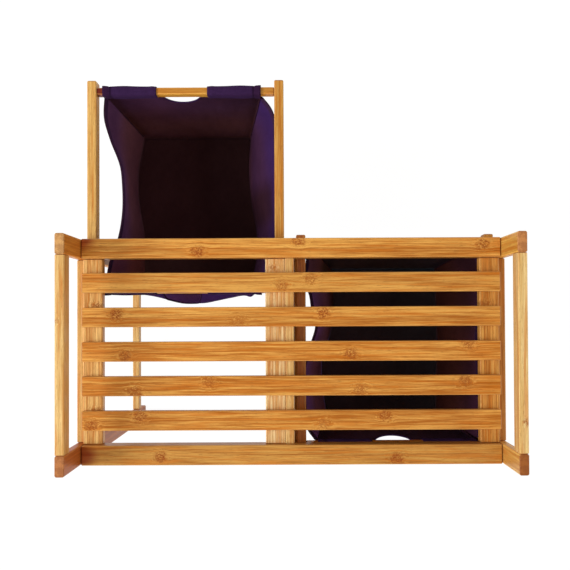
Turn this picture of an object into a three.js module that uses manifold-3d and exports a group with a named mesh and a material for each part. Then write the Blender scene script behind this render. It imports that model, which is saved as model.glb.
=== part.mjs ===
// Bench laundry hamper: a slatted bamboo seat on two end frames, with two framed fabric bins
// that hang on tongue runners under the seat and slide out at the front.
// Millimetres. X runs along the bench, -Y is its front, Z is up and the floor is at zero.

import * as THREE from 'three';
import { mergeVertices } from 'three/addons/utils/BufferGeometryUtils.js';
import Module from 'manifold-3d';

const wasm = await Module();
wasm.setup();

// Bench: overall sizes and boards
const benchWidth = 730;
const seatHeight = 470;
const armRise = 75;
const frameThick = 15;
const boardWide = 33;
const slatCount = 5;
const slatPitch = 57.3;
const slatThick = 12;
const slatEndGap = 1.5;
const seatRailGap = 0.8;
const crossbarWide = 33;
const crossbarThick = 15;
const armTall = 24;
const sideRailTall = 33;
const footRailTall = 20;
const footRailLift = 48;
const centreThick = 15;
const centreDrop = 32;
const centreShift = 2.5;
const glideThick = 3;
const glideInset = 2;

// Edges and fits shared by all boards
const edgeRound = 2;
const postRound = 3;
const endBevel = 1;
const seatEndBevel = 1.5;
const seam = 0.2;
const overrun = 5;

// Runners and the grooves that ride on them
const runnerTall = 8;
const runnerInset = 3.4;
const runnerTipGap = 0.5;
const slideGap = 0.3;
const grooveDeep = 7;

// Bins: frames, travel and rest places
const binSideGap = 1.5;
const binRailThick = 16;
const binRailTall = 20;
const binRailDrop = 2;
const binRailProud = 8.8;
const binRailBackInset = 8.4;
const binRailEndBevel = 1.5;
const barWide = 12;
const barTall = 16;
const barSetback = 11.5;
const binTravel = 266.4;

// Bags
const fabricThick = 1.6;
const sleeveGap = 0.3;
const sleeveCorner = 2;
const bagHang = 1;
const bagDepth = 172;
const barShow = 16.5;
const bagSideTaper = 26;
const bagEndTaper = 26;
const bagTopCorner = 10;
const bagFloorCorner = 12;
const bagFloorRound = 8;
const sideDip = 27;
const handleHalfGap = 44;
const handHoleRadius = 32;

// Tenons and fasteners
const fastenerGap = 0.2;
const tenonLength = 10;
const tenonShoulder = 4;
const screwRadius = 1.9;
const screwHeadRadius = 3.8;
const screwHeadDeep = 2.4;
const screwTip = 4;
const screwLength = 34;
const boltRadius = 3;
const boltLength = 55;
const boltHeadRadius = 7;
const boltHeadThick = 2.2;
const boltSink = 0.3;
const boltSocketRadius = 2.3;
const boltSocketDeep = 3;
const nutRadius = 5;
const nutLength = 16;
const nutFromRailEnd = 35;

// Faceting
const edgeSteps = 2;
const roundFacets = 10;
const headFacets = 16;
const bagSideSteps = 8;
const bagEndSteps = 2;
const bagCornerSteps = 3;
const bagWallShares = [0.3, 0.55, 0.8, 1];
const bagRoundSteps = 2;
const handHoleFacets = 24;

// Planes that the pieces share
const halfWidth = benchWidth / 2;
const innerX = halfWidth - frameThick;
const halfDepth = ((slatCount + 1) * slatPitch + boardWide) / 2;
const jointY = halfDepth - boardWide;
const armTop = seatHeight + armRise;
const slatBottom = seatHeight - slatThick;
const crossbarBottom = slatBottom - crossbarThick;
const centreLeft = centreShift - centreThick / 2;
const centreRight = centreShift + centreThick / 2;
const seatRailMiddleY = jointY + boardWide / 2;
const seatRailMiddleZ = (crossbarBottom + seatHeight) / 2;

const bayWidths = { left: innerX + centreLeft, right: innerX - centreRight };
const binHalf = Math.min(bayWidths.left, bayWidths.right) / 2 - binSideGap;
const binRailTop = crossbarBottom - binRailDrop;
const binRailBottom = binRailTop - binRailTall;
const runnerMiddleZ = (binRailTop + binRailBottom) / 2;
const binRailFront = -halfDepth - binRailProud;
const binRailBack = halfDepth - binRailBackInset;
const barFrontY = binRailFront + barSetback + barWide / 2;
const barBackY = binRailBack - barSetback - barWide / 2;
const barBottom = runnerMiddleZ - barTall / 2;
const barHalfLength = binHalf - binRailThick - seam;
const bagHalfWidth = barHalfLength - barShow;

// Materials
const bamboo = new THREE.MeshStandardMaterial({ color: '#cf9048', roughness: 0.45, metalness: 0 });
const fabric = new THREE.MeshStandardMaterial({ color: '#2b1a3e', roughness: 0.9, metalness: 0 });
const steel = new THREE.MeshStandardMaterial({ color: '#b9b6ad', roughness: 0.35, metalness: 1 });
const glide = new THREE.MeshStandardMaterial({ color: '#5b4636', roughness: 0.6, metalness: 0 });

// A closed three.js mesh as a solid that can be joined and cut.
function toSolid(geometry) {
  const bare = geometry.clone();
  bare.deleteAttribute('normal');
  bare.deleteAttribute('uv');
  const merged = mergeVertices(bare);
  const corners = merged.index.array;
  const triangles = [];
  for (let i = 0; i < corners.length; i += 3) {
    const [a, b, c] = corners.slice(i, i + 3);
    if (a !== b && b !== c && c !== a) triangles.push(a, b, c);
  }
  return new wasm.Manifold(new wasm.Mesh({
    numProp: 3,
    vertProperties: new Float32Array(merged.attributes.position.array),
    triVerts: new Uint32Array(triangles),
  }));
}

function toGeometry(solid) {
  const mesh = solid.getMesh();
  const geometry = new THREE.BufferGeometry();
  geometry.setAttribute('position', new THREE.BufferAttribute(mesh.vertProperties, 3));
  geometry.setIndex(new THREE.BufferAttribute(mesh.triVerts, 1));
  geometry.computeVertexNormals();
  return geometry;
}

// Takes cutters out of a piece centred on a place, then adds what is joined to it. Cutters and
// additions are given in the group's frame.
function carve(geometry, place, cutters, additions = []) {
  const local = (shape) => toSolid(shape.clone().translate(-place.x, -place.y, -place.z));
  let solid = toSolid(geometry);
  for (const cutter of cutters) solid = solid.subtract(local(cutter));
  for (const addition of additions) solid = solid.add(local(addition));
  return toGeometry(solid);
}

function addPiece(group, name, geometry, material, place = new THREE.Vector3()) {
  const mesh = new THREE.Mesh(geometry, material.clone());
  mesh.name = name;
  mesh.position.copy(place);
  group.add(mesh);
}

const at = (x, y, z) => new THREE.Vector3(x, y, z);
const block = (x0, x1, y0, y1, z0, z1) => new THREE.Box3().setFromPoints([at(x0, y0, z0), at(x1, y1, z1)]);

function roundedRectangle(width, height, radius) {
  const shape = new THREE.Shape();
  const x = width / 2 - radius;
  const y = height / 2 - radius;
  shape.absarc(x, y, radius, 0, Math.PI / 2);
  shape.absarc(-x, y, radius, Math.PI / 2, Math.PI);
  shape.absarc(-x, -y, radius, Math.PI, Math.PI * 1.5);
  shape.absarc(x, -y, radius, Math.PI * 1.5, Math.PI * 2);
  shape.closePath();
  return shape;
}

// A board that fills a block: rounded along its grain and bevelled at its ends.
function board(fill, along, bevel, round) {
  const size = fill.getSize(new THREE.Vector3());
  const [width, height, length] = {
    x: [size.z, size.y, size.x],
    y: [size.x, size.z, size.y],
    z: [size.x, size.y, size.z],
  }[along];
  const depth = length - 2 * bevel;
  const geometry = new THREE.ExtrudeGeometry(roundedRectangle(width, height, round), {
    depth,
    bevelThickness: bevel,
    bevelSize: bevel,
    bevelOffset: -bevel,
    bevelSegments: 1,
    curveSegments: edgeSteps,
  });
  geometry.translate(0, 0, -depth / 2);
  if (along === 'x') geometry.rotateY(Math.PI / 2);
  if (along === 'y') geometry.rotateX(-Math.PI / 2);
  return geometry;
}

function addBoard(group, name, fill, along, options = {}) {
  const { cutters = [], tenons = [], bevel = endBevel, round = edgeRound } = options;
  const place = fill.getCenter(new THREE.Vector3());
  const stubs = tenons.map((tenon) => solidBlock(tenon));
  addPiece(group, name, carve(board(fill, along, bevel, round), place, cutters, stubs), bamboo, place);
}

// A square-edged shape that fills a block.
function solidBlock(fill) {
  const size = fill.getSize(new THREE.Vector3());
  const place = fill.getCenter(new THREE.Vector3());
  return new THREE.BoxGeometry(size.x, size.y, size.z).translate(place.x, place.y, place.z);
}

// The two stub tenons of a rail that runs between the joint faces at the front and the back.
function stubTenons(x0, x1, z0, z1) {
  const root = jointY - tenonLength;
  return [-1, 1].map((end) => block(
    x0 + tenonShoulder, x1 - tenonShoulder,
    end * root, end * (jointY + tenonLength),
    z0 + tenonShoulder, z1 - tenonShoulder,
  ));
}

// The mortise for a tenon.
const mortise = (tenon) => solidBlock(tenon.clone().expandByScalar(fastenerGap));

// Turns a shape made along +Y to face another way.
function face(geometry, direction) {
  const turn = new THREE.Quaternion().setFromUnitVectors(at(0, 1, 0), direction);
  return geometry.applyQuaternion(turn);
}

// A countersunk wood screw from its head at the origin to its tip on +Y. As a cutter it has
// the gap all round and runs on past the head.
function screw(gap = 0) {
  const tip = gap > 0 ? 0 : screwTip;
  const start = gap > 0 ? [at(0, -overrun, 0), at(screwHeadRadius + gap, -overrun, 0)] : [at(0, 0, 0)];
  const profile = [
    ...start,
    at(screwHeadRadius + gap, 0, 0),
    at(screwRadius + gap, screwHeadDeep, 0),
    at(screwRadius + gap, screwLength + gap - tip, 0),
    at(0, screwLength + gap, 0),
  ];
  return new THREE.LatheGeometry(profile, roundFacets);
}

// A connecting bolt with a thin round head sunk in the post, and its cutter.
function bolt(gap = 0) {
  const start = gap > 0 ? -overrun : boltSink;
  const seat = boltSink + boltHeadThick;
  const profile = [
    at(0, start, 0),
    at(boltHeadRadius + gap, start, 0),
    at(boltHeadRadius + gap, seat + gap, 0),
    at(boltRadius + gap, seat + gap, 0),
    at(boltRadius + gap, boltLength + gap, 0),
    at(0, boltLength + gap, 0),
  ];
  return new THREE.LatheGeometry(profile, headFacets);
}

function boltWithSocket() {
  const socket = new THREE.CylinderGeometry(boltSocketRadius, boltSocketRadius, boltSocketDeep * 2, 6);
  return carve(bolt(), at(0, 0, 0), [socket.translate(0, boltSink, 0)]);
}

// A plain pin along +Y, centred on the origin.
const pin = (radius, length) => new THREE.CylinderGeometry(radius, radius, length, roundFacets);

// A barrel nut standing across its bolt.
function barrelNut() {
  const hole = face(pin(boltRadius + fastenerGap, 4 * nutRadius), at(1, 0, 0));
  return carve(face(pin(nutRadius, nutLength), at(0, 0, 1)), at(0, 0, 0), [hole]);
}

// Where the bench's boards and fasteners sit
const endRails = {
  arm: { bottom: armTop - armTall, tall: armTall },
  side_rail: { bottom: crossbarBottom - sideRailTall, tall: sideRailTall },
  foot_rail: { bottom: footRailLift, tall: footRailTall },
};
const crossbarLefts = {
  left: -innerX + seam,
  middle: centreRight + seam,
  right: innerX - seam - crossbarWide,
};
const slatMiddles = Array.from({ length: slatCount }, (_, i) => (i - (slatCount - 1) / 2) * slatPitch);
const corners = [-1, 1].flatMap((side) => [-1, 1].map((end) => ({
  side,
  end,
  name: `${end < 0 ? 'front' : 'back'}_${side < 0 ? 'left' : 'right'}`,
})));
const boltPlace = ({ side, end }) => at(side * halfWidth, end * seatRailMiddleY, seatRailMiddleZ);
const nutPlace = ({ side, end }) => at(
  side * (innerX - nutFromRailEnd), end * seatRailMiddleY, seatRailMiddleZ,
);

const inward = (geometry, side) => face(geometry, at(-side, 0, 0));
const moved = (geometry, place) => geometry.translate(place.x, place.y, place.z);
const boltHoles = corners.map((spot) => moved(inward(bolt(fastenerGap), spot.side), boltPlace(spot)));
const nutHoles = corners.map((spot) => {
  const place = nutPlace(spot);
  const top = place.z + nutLength / 2 + fastenerGap;
  const bottom = crossbarBottom - overrun;
  return face(pin(nutRadius + fastenerGap, top - bottom), at(0, 0, 1))
    .translate(place.x, place.y, (top + bottom) / 2);
});

// One end frame: two posts with an arm, a side rail and a foot rail tenoned between them.
function addEndFrame(group, side, word) {
  const [low, high] = side > 0 ? [innerX, halfWidth] : [-halfWidth, -innerX];
  const reach = jointY - seam;
  const mortises = [];
  for (const [name, { bottom, tall }] of Object.entries(endRails)) {
    const tenons = stubTenons(low, high, bottom, bottom + tall);
    const fill = block(low, high, -reach, reach, bottom, bottom + tall);
    addBoard(group, `${name}_${word}`, fill, 'y', { tenons });
    mortises.push(...tenons.map(mortise));
  }
  for (const [end, endWord] of [[-1, 'front'], [1, 'back']]) {
    const fill = block(low, high, end * jointY, end * halfDepth, glideThick, armTop);
    const cutters = [...mortises, ...boltHoles];
    addBoard(group, `post_${endWord}_${word}`, fill, 'z', { cutters, round: postRound });
  }
}

// The seat: crossbars and a centre board tenoned between the front and back rails, and slats on
// top of them. The lower part of the centre board runs the full depth under both rails.
function addSeat(group) {
  const reach = jointY - seam;
  const top = slatBottom - seam;
  const mortises = [];
  for (const [word, low] of Object.entries(crossbarLefts)) {
    const tenons = stubTenons(low, low + crossbarWide, crossbarBottom, top);
    const fill = block(low, low + crossbarWide, -reach, reach, crossbarBottom, top);
    addBoard(group, `crossbar_${word}`, fill, 'y', { tenons });
    mortises.push(...tenons.map(mortise));
  }
  const tenons = stubTenons(centreLeft, centreRight, crossbarBottom, top);
  const notches = [-1, 1].map((end) => solidBlock(block(
    centreLeft - overrun, centreRight + overrun,
    end * reach, end * (halfDepth + overrun),
    crossbarBottom - seam, slatBottom + overrun,
  )));
  const whole = block(centreLeft, centreRight, -halfDepth, halfDepth, crossbarBottom - centreDrop, top);
  addBoard(group, 'centre_board', whole, 'y', { cutters: notches, tenons });
  mortises.push(...tenons.map(mortise));

  const railReach = innerX - seatRailGap;
  for (const [end, word] of [[-1, 'front'], [1, 'back']]) {
    const fill = block(-railReach, railReach, end * jointY, end * halfDepth, crossbarBottom, seatHeight);
    const cutters = [...boltHoles, ...nutHoles, ...mortises];
    addBoard(group, `seat_rail_${word}`, fill, 'x', { cutters, bevel: seatEndBevel });
  }
  const slatReach = innerX - slatEndGap;
  slatMiddles.forEach((y, i) => {
    const low = y - boardWide / 2;
    const fill = block(-slatReach, slatReach, low, low + boardWide, slatBottom, seatHeight);
    addBoard(group, `seat_slat_${i + 1}`, fill, 'x', { bevel: seatEndBevel });
  });
}

// The bay for one bin, between the centre board and an end frame.
function bay(side) {
  const near = side > 0 ? centreRight : -centreLeft;
  const width = side > 0 ? bayWidths.right : bayWidths.left;
  return { near, middle: side * (near + width / 2), gap: width / 2 - binHalf };
}

// Two tongue runners for one bin: on the end frame and on the centre board.
function addRunners(group, side, word) {
  const { near, gap } = bay(side);
  const reach = gap + grooveDeep - runnerTipGap;
  const [bottom, top] = [runnerMiddleZ - runnerTall / 2, runnerMiddleZ + runnerTall / 2];
  const [front, back] = [-halfDepth + runnerInset, halfDepth - runnerInset];
  const outer = block(side * (innerX - seam), side * (innerX - reach), front, back, bottom, top);
  const inner = block(side * (near + seam), side * (near + reach), front, back, bottom, top);
  addBoard(group, `runner_${word}_outer`, outer, 'y');
  addBoard(group, `runner_${word}_inner`, inner, 'y');
}

// A pad glued under a post.
function footGlide() {
  const outline = roundedRectangle(frameThick - 2 * glideInset, boardWide - 2 * glideInset, edgeRound);
  return new THREE.ExtrudeGeometry(outline, {
    depth: glideThick - seam, bevelEnabled: false, curveSegments: edgeSteps,
  });
}

// Outline of the bag at one level, counter-clockwise from the front of the right wall.
function bagOutline(halfX, halfY, corner) {
  const points = [];
  const [flatX, flatY] = [halfX - corner, halfY - corner];
  const walls = [
    { steps: bagSideSteps, from: at(halfX, -flatY), to: at(halfX, flatY), turn: 0 },
    { steps: bagEndSteps, from: at(flatX, halfY), to: at(-flatX, halfY), turn: 1 },
    { steps: bagSideSteps, from: at(-halfX, flatY), to: at(-halfX, -flatY), turn: 2 },
    { steps: bagEndSteps, from: at(-flatX, -halfY), to: at(flatX, -halfY), turn: 3 },
  ];
  const centres = [at(flatX, flatY), at(-flatX, flatY), at(-flatX, -flatY), at(flatX, -flatY)];
  walls.forEach((wall, w) => {
    for (let i = 0; i <= wall.steps; i += 1) {
      points.push(new THREE.Vector2().lerpVectors(wall.from, wall.to, i / wall.steps));
    }
    for (let i = 1; i < bagCornerSteps; i += 1) {
      const angle = (wall.turn + i / bagCornerSteps) * Math.PI / 2;
      points.push(new THREE.Vector2(
        centres[w].x + corner * Math.cos(angle), centres[w].y + corner * Math.sin(angle),
      ));
    }
  });
  return points;
}

// One ring of the bag: a share of the way up the wall, inset from the outer face. The rim dips
// between the bars, deepest half way along each side wall.
function bagRing(share, inset, floorInset, lift) {
  const mix = THREE.MathUtils.lerp;
  const narrower = inset + floorInset;
  const halfX = bagHalfWidth - bagSideTaper * (1 - share) - narrower;
  const halfY = (barBackY - barFrontY + fabricThick) / 2 - bagEndTaper * (1 - share) - narrower;
  const corner = mix(bagFloorCorner, bagTopCorner, share) - inset;
  const rim = barBottom - bagHang;
  const floor = rim - bagDepth + lift;
  return bagOutline(halfX, halfY, corner).map((point) => {
    const along = Math.min(Math.abs(point.y) / halfY, 1);
    const dip = sideDip * (1 - along ** 2) ** 1.5;
    return at(point.x, point.y, floor + share * (rim - dip - floor));
  });
}

// Joins rings into a closed skin whose first and last rings close on a point in their middle.
function skin(rings) {
  const middle = (ring) => at(0, 0, ring[0].z);
  const points = [middle(rings[0]), ...rings.flat(), middle(rings[rings.length - 1])];
  const count = rings[0].length;
  const corner = (ring, i) => 1 + ring * count + (i % count);
  const last = rings.length - 1;
  const faces = [];
  for (let i = 0; i < count; i += 1) {
    faces.push(0, corner(0, i + 1), corner(0, i));
    for (let ring = 0; ring < last; ring += 1) {
      faces.push(corner(ring, i), corner(ring, i + 1), corner(ring + 1, i + 1));
      faces.push(corner(ring, i), corner(ring + 1, i + 1), corner(ring + 1, i));
    }
    faces.push(corner(last, i), corner(last, i + 1), points.length - 1);
  }
  const geometry = new THREE.BufferGeometry().setFromPoints(points);
  geometry.setIndex(faces);
  return geometry;
}

// The rings of one face of the bag, from the middle of its floor up to the rim.
function bagFace(inset) {
  const rings = [];
  const round = bagFloorRound - inset;
  for (let i = 0; i <= bagRoundSteps; i += 1) {
    const angle = i / bagRoundSteps * Math.PI / 2;
    const floorInset = round * (1 - Math.sin(angle));
    rings.push(bagRing(0, inset, floorInset, inset + round * (1 - Math.cos(angle))));
  }
  for (const share of bagWallShares) rings.push(bagRing(share, inset, 0, inset + round * (1 - share)));
  return rings;
}

// A sleeve sewn round one stretch of a bar.
function sleeve(fromX, toX, barY) {
  const grow = 2 * (sleeveGap + fabricThick);
  const outline = roundedRectangle(barTall + grow, barWide + grow, sleeveCorner + fabricThick);
  const bore = roundedRectangle(barTall + 2 * sleeveGap, barWide + 2 * sleeveGap, sleeveCorner);
  outline.holes.push(new THREE.Path(bore.getPoints(1)));
  return new THREE.ExtrudeGeometry(outline, { depth: toX - fromX, bevelEnabled: false, curveSegments: 1 })
    .rotateY(Math.PI / 2)
    .translate(fromX, barY, runnerMiddleZ);
}

// The bag: a tapered open sack with a sleeve round each bar on both sides of a hand hole.
function bag() {
  const middleY = (barFrontY + barBackY) / 2;
  const sack = skin([...bagFace(0), ...bagFace(fabricThick).reverse()]).translate(0, middleY, 0);
  let solid = toSolid(sack);
  for (const barY of [barFrontY, barBackY]) {
    solid = solid.add(toSolid(sleeve(-bagHalfWidth, -handleHalfGap, barY)));
    solid = solid.add(toSolid(sleeve(handleHalfGap, bagHalfWidth, barY)));
    const hole = new THREE.CylinderGeometry(handHoleRadius, handHoleRadius, 2 * boardWide, handHoleFacets);
    solid = solid.subtract(toSolid(hole.translate(0, barY, barBottom - bagHang)));
  }
  return toGeometry(solid);
}

// One bin: two grooved rails, two bars screwed between them through the groove, and the bag.
function addBin(group, word) {
  const grooveHalf = runnerTall / 2 + slideGap;
  const screwPlace = ({ side, end }) => at(
    side * (binHalf - grooveDeep), end < 0 ? barFrontY : barBackY, runnerMiddleZ,
  );
  const screwHoles = corners.map((spot) => moved(inward(screw(fastenerGap), spot.side), screwPlace(spot)));
  for (const side of [-1, 1]) {
    const fill = block(
      side * (binHalf - binRailThick), side * binHalf, binRailFront, binRailBack, binRailBottom, binRailTop,
    );
    const groove = solidBlock(block(
      side * (binHalf - grooveDeep), side * (binHalf + overrun),
      binRailFront - overrun, binRailBack + overrun,
      runnerMiddleZ - grooveHalf, runnerMiddleZ + grooveHalf,
    ));
    const place = (word === 'right') === (side > 0) ? 'outer' : 'inner';
    const cutters = [groove, ...screwHoles];
    addBoard(group, `${word}_bin_rail_${place}`, fill, 'y', { cutters, bevel: binRailEndBevel });
  }
  for (const [end, y] of [['front', barFrontY], ['back', barBackY]]) {
    const fill = block(
      -barHalfLength, barHalfLength, y - barWide / 2, y + barWide / 2, barBottom, barBottom + barTall,
    );
    addBoard(group, `${word}_bin_bar_${end}`, fill, 'x', { cutters: screwHoles });
  }
  for (const spot of corners) {
    addPiece(group, `${word}_bin_screw_${spot.name}`, inward(screw(), spot.side), steel, screwPlace(spot));
  }
  addPiece(group, `${word}_bin_bag`, bag(), fabric);
}

// The whole hamper stands with the right bin drawn out and the left one pushed in. The origin is
// on the floor, in the middle of the rectangle that it then covers.
const hamper = new THREE.Group();
const drawnFront = binRailFront - binTravel;
hamper.position.y = -(drawnFront + halfDepth) / 2;

const bench = new THREE.Group();
hamper.add(bench);
for (const [side, word] of [[-1, 'left'], [1, 'right']]) {
  addEndFrame(bench, side, word);
  addRunners(bench, side, word);
}
addSeat(bench);
for (const spot of corners) {
  const foot = at(spot.side * (innerX + frameThick / 2), spot.end * seatRailMiddleY, 0);
  addPiece(bench, `foot_glide_${spot.name}`, footGlide(), glide, foot);
  addPiece(bench, `seat_bolt_${spot.name}`, inward(boltWithSocket(), spot.side), steel, boltPlace(spot));
  addPiece(bench, `barrel_nut_${spot.name}`, barrelNut(), steel, nutPlace(spot));
}

for (const [side, word, drawn] of [[-1, 'left', 0], [1, 'right', binTravel]]) {
  const bin = new THREE.Group();
  bin.position.set(bay(side).middle, -drawn, 0);
  addBin(bin, word);
  hamper.add(bin);
}

export default hamper;
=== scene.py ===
import math

import bpy
import numpy as np
from mathutils import Matrix, Vector


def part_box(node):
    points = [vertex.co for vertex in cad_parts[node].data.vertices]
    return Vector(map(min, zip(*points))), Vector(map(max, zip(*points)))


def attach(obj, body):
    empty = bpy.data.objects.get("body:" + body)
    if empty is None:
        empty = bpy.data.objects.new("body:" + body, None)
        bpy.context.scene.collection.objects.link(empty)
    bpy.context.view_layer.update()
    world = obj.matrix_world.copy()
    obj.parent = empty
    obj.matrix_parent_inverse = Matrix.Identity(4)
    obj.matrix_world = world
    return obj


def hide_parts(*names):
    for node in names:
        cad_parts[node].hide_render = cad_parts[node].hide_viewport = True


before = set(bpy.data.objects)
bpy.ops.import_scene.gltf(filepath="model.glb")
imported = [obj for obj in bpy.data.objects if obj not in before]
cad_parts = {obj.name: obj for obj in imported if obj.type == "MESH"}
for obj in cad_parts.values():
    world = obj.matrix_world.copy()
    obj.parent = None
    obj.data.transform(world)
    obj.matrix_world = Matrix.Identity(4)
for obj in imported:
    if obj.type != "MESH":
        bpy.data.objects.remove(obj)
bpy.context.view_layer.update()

# End frames: four posts joined by two arms, two side rails and two foot rails. They are laminated
# bamboo, sawn into strips, glued, rounded along the edges and finished with a satin clear lacquer.
# The arms are the palest boards, and the posts' tops show end grain.
AXES = {"x": Vector((1, 0, 0)), "y": Vector((0, 1, 0)), "z": Vector((0, 0, 1))}
SIDES, ENDS = ("left", "right"), ("front", "back")


class Field:
    """One output of a shader node: a number, vector or colour that changes over a surface. Sums and
    products of fields, numbers and triples add Math or Vector Math nodes to its tree."""

    def __init__(self, socket):
        self.socket, self.tree = socket, socket.id_data

    def __add__(self, other):
        return calculate("ADD", self, other)

    def __sub__(self, other):
        return calculate("SUBTRACT", self, other)

    def __rsub__(self, other):
        return calculate("SUBTRACT", other, self)

    def __mul__(self, other):
        return calculate("MULTIPLY", self, other)

    def __truediv__(self, other):
        return calculate("DIVIDE", self, other)

    def __rtruediv__(self, other):
        return calculate("DIVIDE", other, self)

    def __abs__(self):
        return calculate("ABSOLUTE", self)


def feed(inputs, values):
    """Fills inputs by name or number. A field is linked, and a colour is given as a triple."""
    for name, value in values.items():
        if isinstance(value, Field):
            value.tree.links.new(value.socket, inputs[name])
        else:
            inputs[name].default_value = (*value, 1) if inputs[name].type == "RGBA" else value


def place_node(tree, kind, inputs=(), **settings):
    """Adds a node with its options and inputs. Returns its outputs as fields, by name and number."""
    node = tree.nodes.new(kind)
    for name, value in settings.items():
        setattr(node, name, value)
    feed(node.inputs, dict(inputs))
    return {key: Field(end) for number, end in enumerate(node.outputs) for key in (number, end.name)}


def calculate(operation, *values):
    """A Math node, or a Vector Math node where a value is a vector or colour. There a number counts
    for all three axes."""
    fields = [value for value in values if isinstance(value, Field)]
    tree = fields[0].tree
    if all(field.socket.type == "VALUE" for field in fields):
        return place_node(tree, "ShaderNodeMath", dict(enumerate(values)), operation=operation)[0]
    values = [(value,) * 3 if isinstance(value, (int, float)) else value for value in values]
    ends = place_node(tree, "ShaderNodeVectorMath", dict(enumerate(values)), operation=operation)
    return ends["Value" if operation in ("LENGTH", "DOT_PRODUCT") else "Vector"]


def split(place):
    """The X, Y and Z of a vector."""
    ends = place_node(place.tree, "ShaderNodeSeparateXYZ", {"Vector": place})
    return ends["X"], ends["Y"], ends["Z"]


def ramp(value, low, high, start=0.0, end=1.0):
    """Carries a field from the range low..high smoothly onto start..end."""
    inputs = {"Value": value, "From Min": low, "From Max": high, "To Min": start, "To Max": end}
    return place_node(value.tree, "ShaderNodeMapRange", inputs, interpolation_type="SMOOTHSTEP")["Result"]


def blend(share, first, second, mode="MIX"):
    """Mixes two colours by a share from 0 to 1. The node's colours are its inputs 6 and 7."""
    inputs = {0: share, 6: first, 7: second}
    return place_node(share.tree, "ShaderNodeMix", inputs, data_type="RGBA", blend_type=mode)[2]


def noise(place, scale, detail=3.0, roughness=0.55):
    """Noise, from 0 to 1, of a place that is first scaled, by a number or along each axis."""
    inputs = {"Vector": place * scale, "Scale": 1.0, "Detail": detail, "Roughness": roughness}
    return place_node(place.tree, "ShaderNodeTexNoise", inputs)["Fac"]


def bump(height, strength, distance, **under):
    """The normal of a surface that a height raises, over another normal if one is given."""
    inputs = {"Height": height, "Strength": strength, "Distance": distance, **under}
    return place_node(height.tree, "ShaderNodeBump", inputs)["Normal"]


def shader_group(name, inputs, outputs):
    """A shader node group, from the names of its inputs and outputs under their kinds. Returns it
    with its inputs as fields and its open ends."""
    group = bpy.data.node_groups.new(name, "ShaderNodeTree")
    for way, sockets in (("INPUT", inputs), ("OUTPUT", outputs)):
        for kind, names in sockets.items():
            for socket in names:
                group.interface.new_socket(name=socket, in_out=way, socket_type="NodeSocket" + kind)
    return group, place_node(group, "NodeGroupInput"), group.nodes.new("NodeGroupOutput").inputs


def use_group(tree, group, inputs):
    """Places a node group in a material and returns its outputs."""
    return place_node(tree, "ShaderNodeGroup", inputs, node_tree=group)


def make_bamboo_grain():
    """Bamboo strips: X runs along the grain, Y across the strips. Each strip has its own tone and
    offset, fine dark fibres stretched along the grain, and a thin glue line at its side. End grain
    is darker, with the cut fibres as specks."""
    tree, given, ends = shader_group(
        "bamboo_grain",
        {
            "Vector": ["Place"],
            "Float": ["Strip Width", "Seed", "Knuckle", "Swirl", "End Grain"],
            "Color": ["Pale", "Deep", "Warm", "End Tone"],
        },
        {"Color": ["Color"], "Float": ["Roughness", "Height"]},
    )
    strip_place = split(given["Place"])[1] / given["Strip Width"]
    marker = calculate("FLOOR", strip_place) + given["Seed"]
    chance = place_node(tree, "ShaderNodeTexWhiteNoise", {"W": marker}, noise_dimensions="1D")
    place = given["Place"] + chance["Color"] * 3.0
    drift = noise(place, (7, 40, 40), 1) - 0.5
    curl = (noise(place, (120, 150, 150), 1) - 0.5) * (given["Swirl"] * 0.011)
    aside = drift * 0.0020 + curl
    place = place + place_node(tree, "ShaderNodeCombineXYZ", {"Y": aside, "Z": aside})[0]

    fibres = noise(place, (22, 820, 820), 3, 0.6)
    streaks = noise(place, (12, 430, 430), 2, 0.6)
    bands = noise(place, (7, 130, 130), 2, 0.5)
    warmth = noise(place, (9, 230, 230), 2, 0.5)
    dashes = noise(place, (75, 1300, 1300), 2, 0.7)
    tone = chance["Value"] * 0.12 + fibres * 0.38 + streaks * 0.50 + bands * 0.40 + 0.06
    colour = blend(ramp(tone, 0.575, 0.93), given["Deep"], given["Pale"])
    colour = blend(ramp(warmth, 0.47, 0.66, 0.0, 0.55), colour, given["Warm"])
    colour = blend(ramp(dashes, 0.56, 0.68, 0.0, 0.50), colour, (0.22, 0.062, 0.010))
    from_side = (0.5 - abs(calculate("FRACT", strip_place) - 0.5)) * given["Strip Width"]
    glue = ramp(from_side, 0.0, 0.00045, 0.34, 0.0)
    colour = blend(glue, colour, (0.24, 0.075, 0.014))
    colour = blend(given["Knuckle"], colour, (0.31, 0.066, 0.003))

    cut_fibres = given["Place"] * (60, 900, 900)
    cells = place_node(tree, "ShaderNodeTexVoronoi", {"Vector": cut_fibres, "Scale": 1.0})["Distance"]
    end_tone = noise(given["Place"], (20, 160, 160), 2)
    end_colour = blend(ramp(end_tone, 0.35, 0.65, 0.62, 1.0), (0.16, 0.032, 0.006), given["End Tone"])
    end_colour = blend(ramp(cells, 0.12, 0.42, 0.45, 0.0), end_colour, (0.20, 0.045, 0.010))
    feed(ends, {
        "Color": blend(given["End Grain"], colour, end_colour),
        "Roughness": fibres * 0.16 + given["End Grain"] * 0.18 + 0.30,
        "Height": streaks * 0.5 + fibres * 0.8 - glue * 1.2 - given["Knuckle"] * 0.4,
    })
    return tree


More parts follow.
